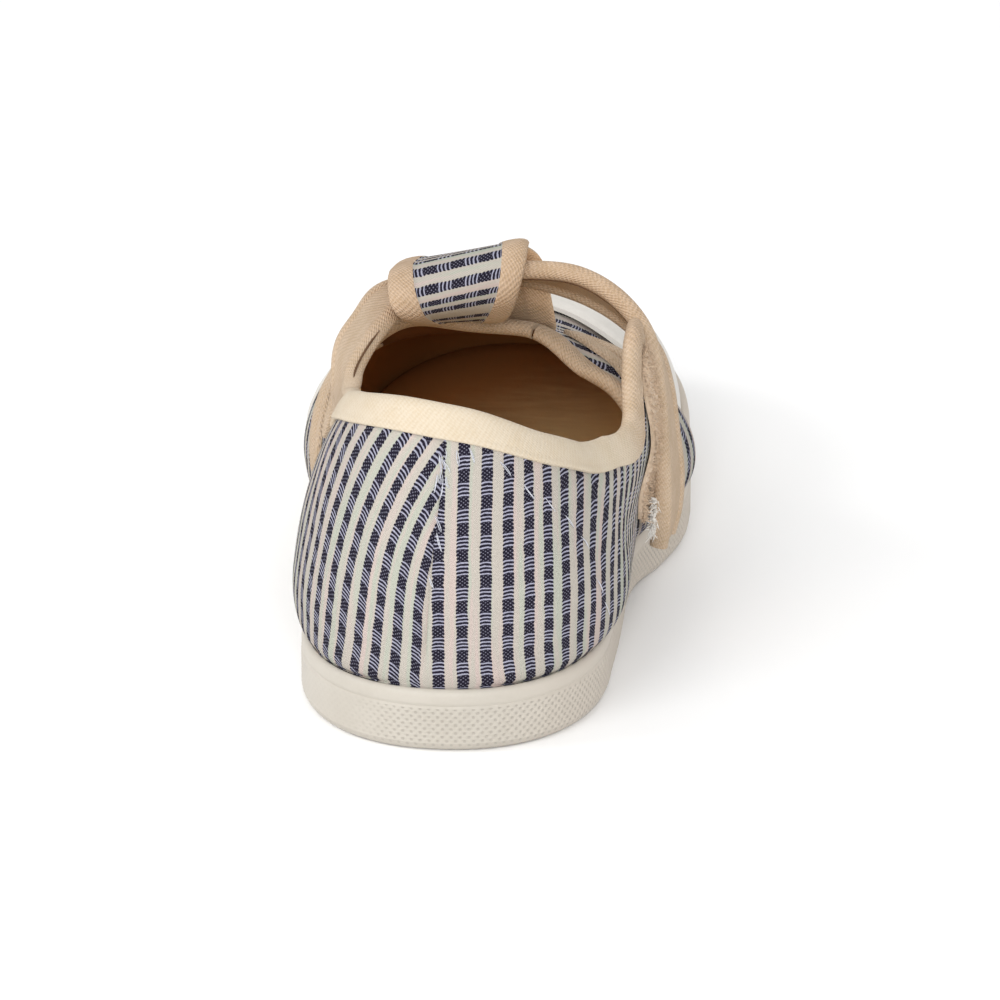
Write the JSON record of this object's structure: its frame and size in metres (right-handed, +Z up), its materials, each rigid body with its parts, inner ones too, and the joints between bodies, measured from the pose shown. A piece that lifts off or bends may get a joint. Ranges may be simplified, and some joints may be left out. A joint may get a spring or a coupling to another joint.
{
  "type": "child's t-bar canvas shoe",
  "caption": "Child's low canvas shoe with a T-shaped bar, a hook-and-loop strap threaded through its loop, bound edges, side cut-outs, rubber toe cap and flat rubber cup sole.",
  "frame": {"origin": "centre of the shoe's footprint bounds, on the floor plane under the flat heel and forefoot", "axes": "+Y from heel to toe, +Z up, +X to the outer (lateral) side of this right shoe"},
  "size_m": [0.069, 0.166, 0.0623],
  "materials": {
    "sole_rubber": "ivory moulded rubber, satin lip over a fine knurled side band",
    "sock": "smooth matt tan sock",
    "canvas": "off-white woven cotton canvas with broken navy stripes",
    "twill_tape": "cream cotton twill tape",
    "toe_rubber": "smooth white rubber",
    "hook_and_loop": "fuzzy cream fastening tape"
  },
  "bodies": {
    "root": {"outsole": "sole_rubber", "insole": "sock", "upper": "canvas", "collar_binding": "twill_tape", "throat_binding": "twill_tape", "cutout_binding_lateral": "twill_tape", "cutout_binding_medial": "twill_tape", "toe_cap": "toe_rubber", "strap": "twill_tape", "hook_tape": "hook_and_loop", "loop_tape": "hook_and_loop", "t_bar": "canvas"}
  },
  "joints": []
}
